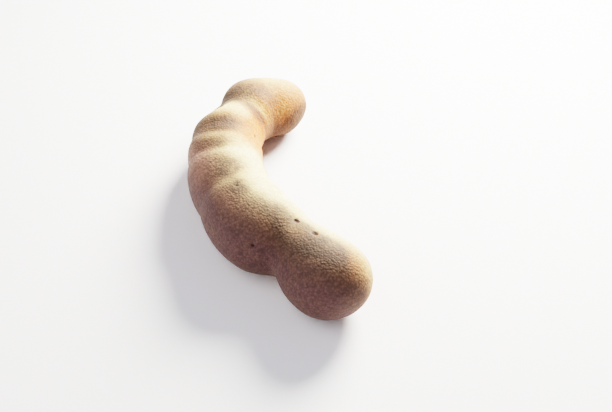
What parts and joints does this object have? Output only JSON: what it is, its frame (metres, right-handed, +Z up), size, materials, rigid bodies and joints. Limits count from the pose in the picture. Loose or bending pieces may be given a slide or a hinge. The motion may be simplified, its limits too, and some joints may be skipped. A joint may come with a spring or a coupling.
{
  "type": "tamarind pod",
  "caption": "Whole unopened tamarind pod, curled like a hook and lying on its side, with a tan granular shell pinched by shallow furrows between the seeds.",
  "frame": {"origin": "bottom of the pod, in the middle of its outline seen from above", "axes": "+Y along the pod's longest extent from the near lobe towards the far lobe, +X towards the open side of the curl, +Z up from the surface that the pod lies on"},
  "size_m": [0.0692, 0.1224, 0.0311],
  "materials": {
    "pod_shell": "dry brittle fruit shell, matt, with a fine granular tan scurf that darkens to grey brown"
  },
  "bodies": {
    "root": {"tamarind_pod": "pod_shell"}
  },
  "joints": []
}
